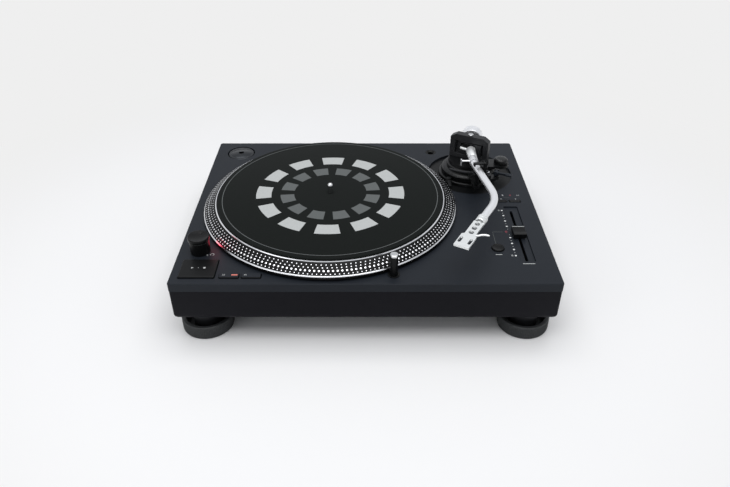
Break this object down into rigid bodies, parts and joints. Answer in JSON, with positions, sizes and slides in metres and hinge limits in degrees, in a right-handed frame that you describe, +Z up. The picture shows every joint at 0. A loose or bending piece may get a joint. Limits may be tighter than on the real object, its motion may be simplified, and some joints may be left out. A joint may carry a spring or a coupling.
{
  "type": "direct-drive turntable",
  "caption": "Record player with a low cabinet on levelling feet, a spinning platter with a slipmat, an S-shaped tonearm in a gimbal, and deck controls.",
  "frame": {"origin": "on the floor under the middle of the deck", "axes": "+X to the tonearm's side, +Y to the back, +Z up"},
  "size_m": [0.453, 0.353, 0.1457],
  "materials": {
    "deck_paint": "die-cast with a matt charcoal paint",
    "cabinet_moulding": "moulded, fine matt",
    "foot_rubber": "moulded",
    "black_plastic": "moulded, fine matt",
    "platter_metal": "cast, turned and lacquered, with bright turned edges",
    "slipmat_felt": "pressed felt",
    "ferrite": "sintered",
    "bright_steel": "polished plate",
    "bearing_steel": "turned",
    "circuit_board": "glass-fibre board with solder mask",
    "arm_casting": "die-cast, matt black lacquer",
    "arm_silver": "satin anodised",
    "adaptor_metal": "turned and anodised dark",
    "red_lens": "clear red moulding"
  },
  "bodies": {
    "cabinet": {"top_chassis": "deck_paint", "base_cabinet": "cabinet_moulding", "bottom_cover": "cabinet_moulding", "stator_board": "circuit_board", "spindle_bearing": "bearing_steel", "main_board": "circuit_board", "power_supply": "circuit_board", "switch_board": "circuit_board", "strobe_housing": "black_plastic", "strobe_window": "red_lens", "weight_socket": "black_plastic", "light_sleeve": "black_plastic", "pitch_plate": "black_plastic", "slider_track": "black_plastic", "signal_terminals": "black_plastic", "mains_inlet": "black_plastic", "arm_base": "arm_casting"},
    "platter": {"platter": "platter_metal", "slipmat": "slipmat_felt", "rotor_magnet": "ferrite", "spindle_shaft": "bright_steel"},
    "foot_boot_front_left": {"foot_boot_front_left": "foot_rubber"},
    "foot_ring_front_left": {"foot_ring_front_left": "black_plastic"},
    "foot_boot_front_right": {"foot_boot_front_right": "foot_rubber"},
    "foot_ring_front_right": {"foot_ring_front_right": "black_plastic"},
    "foot_boot_back_left": {"foot_boot_back_left": "foot_rubber"},
    "foot_ring_back_left": {"foot_ring_back_left": "black_plastic"},
    "foot_boot_back_right": {"foot_boot_back_right": "foot_rubber"},
    "foot_ring_back_right": {"foot_ring_back_right": "black_plastic"},
    "start_stop_button": {"start_stop_button": "black_plastic"},
    "speed_33_button": {"speed_33_button": "black_plastic"},
    "speed_45_button": {"speed_45_button": "black_plastic"},
    "reset_button": {"reset_button": "black_plastic"},
    "range_button": {"range_button": "black_plastic"},
    "reverse_button": {"reverse_button": "black_plastic"},
    "power_dial": {"power_dial": "black_plastic"},
    "stylus_light": {"stylus_light": "bright_steel"},
    "record_adaptor": {"record_adaptor": "adaptor_metal"},
    "pitch_knob": {"pitch_knob": "black_plastic"},
    "height_ring": {"height_ring": "black_plastic"},
    "height_lock_lever": {"height_lock_lever": "black_plastic"},
    "arm_platform": {"arm_platform": "arm_casting", "gimbal_housing": "arm_casting", "top_pivot_screw": "bright_steel", "arm_rest": "black_plastic"},
    "anti_skating_dial": {"anti_skating_dial": "black_plastic"},
    "cue_lever": {"cue_lever": "black_plastic"},
    "lift_bar": {"lift_bar": "foot_rubber"},
    "arm_clip": {"arm_clip": "black_plastic"},
    "gimbal_ring": {"gimbal_ring": "arm_casting"},
    "tonearm": {"pivot_block": "arm_casting", "tube_boss": "bright_steel", "arm_tube": "arm_silver", "arm_collar": "bright_steel", "headshell": "arm_silver", "finger_lift": "arm_silver"},
    "headshell_nut": {"headshell_nut": "arm_silver"},
    "weight_hub": {"weight_hub": "black_plastic"},
    "counterweight": {"counterweight": "bright_steel"},
    "force_dial": {"force_dial": "black_plastic"}
  },
  "joints": [
    {"name": "platter_spin", "type": "hinge", "parent": "cabinet", "child": "platter", "pos_m": [-0.0466, -0.0052, 0.086], "axis": [0, 0, -1], "continuous": true},
    {"name": "foot_rise_front_left", "type": "slide", "parent": "cabinet", "child": "foot_boot_front_left", "axis": [0, 0, -1], "range_m": [0, 0.006]},
    {"name": "foot_turn_front_left", "type": "hinge", "parent": "foot_boot_front_left", "child": "foot_ring_front_left", "pos_m": [-0.195, -0.145, 0], "axis": [0, 0, 1], "range_deg": [0, 1440]},
    {"name": "foot_rise_front_right", "type": "slide", "parent": "cabinet", "child": "foot_boot_front_right", "axis": [0, 0, -1], "range_m": [0, 0.006]},
    {"name": "foot_turn_front_right", "type": "hinge", "parent": "foot_boot_front_right", "child": "foot_ring_front_right", "pos_m": [0.195, -0.145, 0], "axis": [0, 0, 1], "range_deg": [0, 1440]},
    {"name": "foot_rise_back_left", "type": "slide", "parent": "cabinet", "child": "foot_boot_back_left", "axis": [0, 0, -1], "range_m": [0, 0.006]},
    {"name": "foot_turn_back_left", "type": "hinge", "parent": "foot_boot_back_left", "child": "foot_ring_back_left", "pos_m": [-0.195, 0.145, 0], "axis": [0, 0, 1], "range_deg": [0, 1440]},
    {"name": "foot_rise_back_right", "type": "slide", "parent": "cabinet", "child": "foot_boot_back_right", "axis": [0, 0, -1], "range_m": [0, 0.006]},
    {"name": "foot_turn_back_right", "type": "hinge", "parent": "foot_boot_back_right", "child": "foot_ring_back_right", "pos_m": [0.195, 0.145, 0], "axis": [0, 0, 1], "range_deg": [0, 1440]},
    {"name": "start_stop_press", "type": "slide", "parent": "cabinet", "child": "start_stop_button", "axis": [0, 0, -1], "range_m": [0, 0.0012], "stiffness_N_per_m": 500, "springref_m": -0.001},
    {"name": "speed_33_press", "type": "slide", "parent": "cabinet", "child": "speed_33_button", "axis": [0, 0, -1], "range_m": [0, 0.0012], "stiffness_N_per_m": 300, "springref_m": -0.001},
    {"name": "speed_45_press", "type": "slide", "parent": "cabinet", "child": "speed_45_button", "axis": [0, 0, -1], "range_m": [0, 0.0012], "stiffness_N_per_m": 300, "springref_m": -0.001},
    {"name": "reset_press", "type": "slide", "parent": "cabinet", "child": "reset_button", "axis": [0, 0, -1], "range_m": [0, 0.0012], "stiffness_N_per_m": 300, "springref_m": -0.001},
    {"name": "range_press", "type": "slide", "parent": "cabinet", "child": "range_button", "axis": [0, 0, -1], "range_m": [0, 0.0012], "stiffness_N_per_m": 250, "springref_m": -0.001},
    {"name": "reverse_press", "type": "slide", "parent": "cabinet", "child": "reverse_button", "axis": [0, 0, -1], "range_m": [0, 0.0012], "stiffness_N_per_m": 250, "springref_m": -0.001},
    {"name": "power_dial_turn", "type": "hinge", "parent": "cabinet", "child": "power_dial", "pos_m": [-0.2, -0.113, 0.103], "axis": [0, 0, 1], "range_deg": [0, 40]},
    {"name": "stylus_light_lower", "type": "slide", "parent": "cabinet", "child": "stylus_light", "axis": [0, 0, -1], "range_m": [0, 0.028]},
    {"name": "record_adaptor_lift", "type": "slide", "parent": "cabinet", "child": "record_adaptor", "axis": [0, 0, 1], "range_m": [0, 0.03]},
    {"name": "pitch_slide", "type": "slide", "parent": "cabinet", "child": "pitch_knob", "axis": [0, -1, 0], "range_m": [-0.05, 0.05]},
    {"name": "height_ring_turn", "type": "hinge", "parent": "cabinet", "child": "height_ring", "pos_m": [0.1483, 0.0855, 0.091], "axis": [0, 0, 1], "range_deg": [0, 300]},
    {"name": "platform_rise", "type": "slide", "parent": "cabinet", "child": "arm_platform", "axis": [0, 0, 1], "range_m": [0, 0.006]},
    {"name": "height_lock_turn", "type": "hinge", "parent": "cabinet", "child": "height_lock_lever", "pos_m": [0.1181, 0.0561, 0.09], "axis": [0, 0, 1], "range_deg": [0, 35]},
    {"name": "anti_skating_turn", "type": "hinge", "parent": "arm_platform", "child": "anti_skating_dial", "pos_m": [0.1943, 0.082, 0.106], "axis": [0, 0, -1], "range_deg": [0, 270]},
    {"name": "cue_lever_lift", "type": "hinge", "parent": "arm_platform", "child": "cue_lever", "pos_m": [0.1813, 0.0445, 0.1065], "axis": [-0.3746, -0.9272, 0], "range_deg": [0, 60]},
    {"name": "lift_bar_rise", "type": "slide", "parent": "arm_platform", "child": "lift_bar", "axis": [0, 0, 1], "range_m": [0, 0.005]},
    {"name": "arm_clip_open", "type": "hinge", "parent": "arm_platform", "child": "arm_clip", "pos_m": [0.15883, 0.0212, 0.1346], "axis": [-0.1822, 0.9833, 0], "range_deg": [0, 110]},
    {"name": "arm_swing", "type": "hinge", "parent": "arm_platform", "child": "gimbal_ring", "pos_m": [0.1483, 0.0855, 0.125], "axis": [0, 0, 1], "range_deg": [-40, 0]},
    {"name": "arm_raise", "type": "hinge", "parent": "gimbal_ring", "child": "tonearm", "pos_m": [0.1483, 0.0855, 0.125], "axis": [-0.7986, 0.6018, 0], "range_deg": [0, 3]},
    {"name": "headshell_nut_turn", "type": "hinge", "parent": "tonearm", "child": "headshell_nut", "pos_m": [0.13775, -0.10445, 0.125], "axis": [-0.4848, -0.8746, 0], "range_deg": [0, 40]},
    {"name": "counterweight_travel", "type": "slide", "parent": "tonearm", "child": "weight_hub", "axis": [0.2079, 0.9781, 0], "range_m": [0, 0.009]},
    {"name": "counterweight_turn", "type": "hinge", "parent": "weight_hub", "child": "counterweight", "pos_m": [0.15516, 0.11778, 0.125], "axis": [0.2079, 0.9781, 0], "range_deg": [0, 1080]},
    {"name": "force_dial_turn", "type": "hinge", "parent": "weight_hub", "child": "force_dial", "pos_m": [0.15267, 0.10604, 0.125], "axis": [0.2079, 0.9781, 0], "continuous": true}
  ],
  "couplings": [
    {"joint": "foot_rise_front_left", "follows": "foot_turn_front_left", "m_per_rad": 0.00023873},
    {"joint": "foot_rise_front_right", "follows": "foot_turn_front_right", "m_per_rad": 0.00023873},
    {"joint": "foot_rise_back_left", "follows": "foot_turn_back_left", "m_per_rad": 0.00023873},
    {"joint": "foot_rise_back_right", "follows": "foot_turn_back_right", "m_per_rad": 0.00023873},
    {"joint": "height_ring_turn", "follows": "platform_rise", "rad_per_m": 872.6},
    {"joint": "lift_bar_rise", "follows": "cue_lever_lift", "m_per_rad": 0.0047746},
    {"joint": "counterweight_turn", "follows": "counterweight_travel", "rad_per_m": 2094.3}
  ]
}
